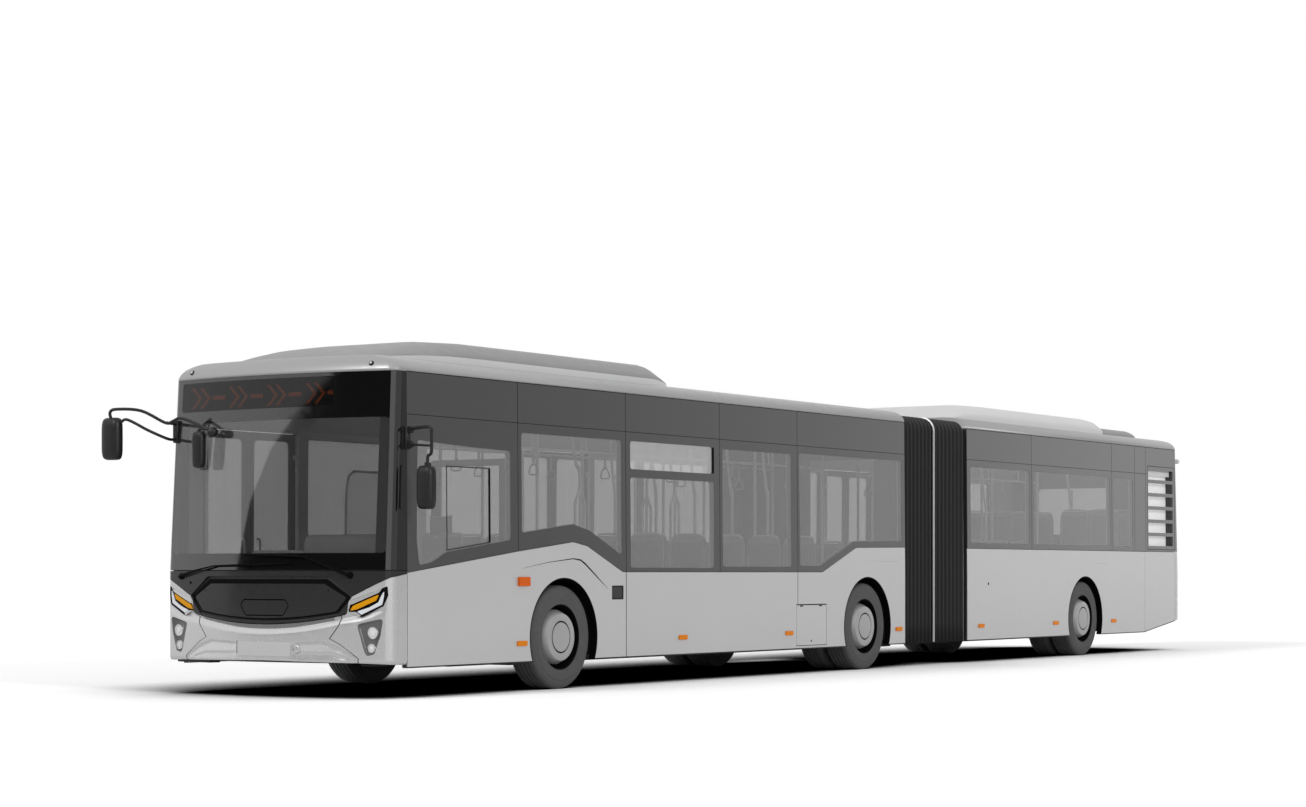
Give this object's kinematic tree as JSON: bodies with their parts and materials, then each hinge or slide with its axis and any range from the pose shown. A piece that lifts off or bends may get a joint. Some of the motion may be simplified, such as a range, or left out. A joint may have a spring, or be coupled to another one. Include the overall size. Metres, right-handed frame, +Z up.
{
  "type": "articulated city bus",
  "caption": "Low-floor articulated city bus: front and rear sections hinged at a turntable under a pleated bellows, with steered front wheels, inward doors, lids and a hollow saloon.",
  "frame": {"origin": "on the ground, at the middle of the footprint's bounding box, mirrors included", "axes": "+Z up, -Y towards the nose, +X to the bus's left"},
  "size_m": [3.21, 18.2899, 3.16],
  "materials": {
    "silver_paint": "light silver-grey paint, satin",
    "black_mask": "gloss black panel",
    "tinted_glass": "grey tinted bonded glass",
    "lamp_lens": "clear and amber lamp lenses",
    "rear_lens": "red and amber lamp lenses",
    "dark_plastic": "black textured plastic",
    "frame_steel": "grey painted steel frame and floor",
    "roof_plastic": "light grey roof fairing",
    "seat_fabric": "grey seat fabric on plastic shells",
    "rail_steel": "brushed stainless tube",
    "bellows_cloth": "charcoal coated bellows cloth",
    "ring_aluminium": "grey anodised ring",
    "running_gear": "black chassis paint on castings",
    "tyre_rubber": "dark grey rubber",
    "wheel_silver": "silver painted wheel and cover",
    "door_frame": "black door frame with tinted glass",
    "engine_grey": "plain engine block"
  },
  "bodies": {
    "front_section": {"front_underframe": "frame_steel", "front_left_wall": "silver_paint", "front_right_wall": "silver_paint", "front_roof": "silver_paint", "nose_frame": "frame_steel", "bumper": "silver_paint", "front_mask": "black_mask", "front_glass": "tinted_glass", "front_lamps": "lamp_lens", "destination_sign": "dark_plastic", "mirrors": "dark_plastic", "wipers": "dark_plastic", "front_roof_unit": "roof_plastic", "dashboard": "dark_plastic", "front_seats": "seat_fabric", "front_handrails": "rail_steel", "front_axle_beam": "running_gear", "middle_axle": "running_gear", "turntable_lower": "running_gear", "bellows_front": "bellows_cloth"},
    "rear_section": {"rear_underframe": "frame_steel", "rear_left_wall": "silver_paint", "rear_right_wall": "silver_paint", "rear_roof": "silver_paint", "rear_end": "silver_paint", "rear_glass": "tinted_glass", "rear_lamps": "rear_lens", "rear_roof_units": "roof_plastic", "rear_seats": "seat_fabric", "rear_handrails": "rail_steel", "rear_axle": "running_gear", "engine_block": "engine_grey", "radiator_grille": "dark_plastic", "turntable_upper": "frame_steel", "bellows_rear": "bellows_cloth"},
    "bellows_ring": {"bellows_ring": "ring_aluminium"},
    "knuckle_left": {"knuckle_left": "running_gear"},
    "knuckle_right": {"knuckle_right": "running_gear"},
    "wheel_front_left": {"tyre_front_left": "tyre_rubber", "rim_front_left": "wheel_silver"},
    "wheel_front_right": {"tyre_front_right": "tyre_rubber", "rim_front_right": "wheel_silver"},
    "wheel_middle_left": {"tyre_middle_left": "tyre_rubber", "rim_middle_left": "wheel_silver"},
    "wheel_middle_right": {"tyre_middle_right": "tyre_rubber", "rim_middle_right": "wheel_silver"},
    "wheel_rear_left": {"tyre_rear_left": "tyre_rubber", "rim_rear_left": "wheel_silver"},
    "wheel_rear_right": {"tyre_rear_right": "tyre_rubber", "rim_rear_right": "wheel_silver"},
    "door_first_front": {"door_first_front": "door_frame"},
    "door_first_back": {"door_first_back": "door_frame"},
    "door_second_front": {"door_second_front": "door_frame"},
    "door_second_back": {"door_second_back": "door_frame"},
    "door_third_front": {"door_third_front": "door_frame"},
    "door_third_back": {"door_third_back": "door_frame"},
    "front_flap": {"front_flap": "black_mask"},
    "side_flap": {"side_flap": "silver_paint"},
    "engine_lid": {"engine_lid": "silver_paint"}
  },
  "joints": [
    {"name": "articulation_yaw", "type": "hinge", "parent": "front_section", "child": "rear_section", "pos_m": [0, 1.53, 0.3], "axis": [0, 0, 1], "range_deg": [-50, 50], "deforming": ["bellows_front", "bellows_rear"]},
    {"name": "bellows_ring_yaw", "type": "hinge", "parent": "front_section", "child": "bellows_ring", "pos_m": [0, 1.53, 0.3], "axis": [0, 0, 1], "range_deg": [-25, 25]},
    {"name": "steer_left", "type": "hinge", "parent": "front_section", "child": "knuckle_left", "pos_m": [1.03, -6.045, 0.4785], "axis": [0, 0, 1], "range_deg": [-45, 45]},
    {"name": "steer_right", "type": "hinge", "parent": "front_section", "child": "knuckle_right", "pos_m": [-1.03, -6.045, 0.4785], "axis": [0, 0, 1], "range_deg": [-45, 45]},
    {"name": "wheel_front_left_spin", "type": "hinge", "parent": "knuckle_left", "child": "wheel_front_left", "pos_m": [1.1, -6.045, 0.4785], "axis": [1, 0, 0], "continuous": true},
    {"name": "wheel_front_right_spin", "type": "hinge", "parent": "knuckle_right", "child": "wheel_front_right", "pos_m": [-1.1, -6.045, 0.4785], "axis": [1, 0, 0], "continuous": true},
    {"name": "wheel_middle_left_spin", "type": "hinge", "parent": "front_section", "child": "wheel_middle_left", "pos_m": [1.1, -0.145, 0.4785], "axis": [1, 0, 0], "continuous": true},
    {"name": "wheel_middle_right_spin", "type": "hinge", "parent": "front_section", "child": "wheel_middle_right", "pos_m": [-1.1, -0.145, 0.4785], "axis": [1, 0, 0], "continuous": true},
    {"name": "wheel_rear_left_spin", "type": "hinge", "parent": "rear_section", "child": "wheel_rear_left", "pos_m": [1.1, 5.82, 0.4785], "axis": [1, 0, 0], "continuous": true},
    {"name": "wheel_rear_right_spin", "type": "hinge", "parent": "rear_section", "child": "wheel_rear_right", "pos_m": [-1.1, 5.82, 0.4785], "axis": [1, 0, 0], "continuous": true},
    {"name": "door_first_front_swing", "type": "hinge", "parent": "front_section", "child": "door_first_front", "pos_m": [-1.19, -8.17, 1.3], "axis": [0, 0, -1], "range_deg": [0, 90]},
    {"name": "door_first_back_swing", "type": "hinge", "parent": "front_section", "child": "door_first_back", "pos_m": [-1.19, -6.92, 1.3], "axis": [0, 0, 1], "range_deg": [0, 90]},
    {"name": "door_second_front_swing", "type": "hinge", "parent": "front_section", "child": "door_second_front", "pos_m": [-1.19, -3.27, 1.3], "axis": [0, 0, -1], "range_deg": [0, 90]},
    {"name": "door_second_back_swing", "type": "hinge", "parent": "front_section", "child": "door_second_back", "pos_m": [-1.19, -2.02, 1.3], "axis": [0, 0, 1], "range_deg": [0, 90]},
    {"name": "door_third_front_swing", "type": "hinge", "parent": "rear_section", "child": "door_third_front", "pos_m": [-1.19, 3.33, 1.3], "axis": [0, 0, -1], "range_deg": [0, 90]},
    {"name": "door_third_back_swing", "type": "hinge", "parent": "rear_section", "child": "door_third_back", "pos_m": [-1.19, 4.58, 1.3], "axis": [0, 0, 1], "range_deg": [0, 90]},
    {"name": "front_flap_lift", "type": "hinge", "parent": "front_section", "child": "front_flap", "pos_m": [0, -8.757, 1.02], "axis": [-1, 0, 0], "range_deg": [0, 75]},
    {"name": "side_flap_lift", "type": "hinge", "parent": "front_section", "child": "side_flap", "pos_m": [1.275, -1.405, 0.727], "axis": [0, -1, 0], "range_deg": [0, 110]},
    {"name": "engine_lid_lift", "type": "hinge", "parent": "rear_section", "child": "engine_lid", "pos_m": [0, 9.136, 1.342], "axis": [1, 0, 0], "range_deg": [0, 80]}
  ],
  "couplings": [
    {"joint": "bellows_ring_yaw", "follows": "articulation_yaw", "ratio": 0.5},
    {"joint": "steer_right", "follows": "steer_left", "ratio": 1}
  ]
}
